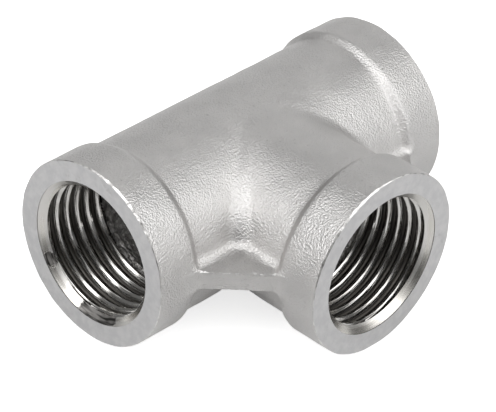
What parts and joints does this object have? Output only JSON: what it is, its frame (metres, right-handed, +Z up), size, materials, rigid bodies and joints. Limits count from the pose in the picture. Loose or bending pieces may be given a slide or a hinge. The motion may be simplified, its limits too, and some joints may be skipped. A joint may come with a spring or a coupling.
{
  "type": "threaded pipe tee",
  "caption": "Cast stainless pipe tee with banded, internally threaded ports and thin corner webs, joining a branch pipe to a straight run.",
  "frame": {"origin": "where the axes of the run and the branch cross, midway between the two run faces", "axes": "+X along the run, -Y out through the branch, +Z up, square to the plane of the ports"},
  "size_m": [0.054, 0.0402, 0.0264],
  "materials": {
    "cast_steel": "fine grainy as-cast stainless, with turned port faces and bright cut threads"
  },
  "bodies": {
    "root": {"tee_body": "cast_steel"}
  },
  "joints": []
}
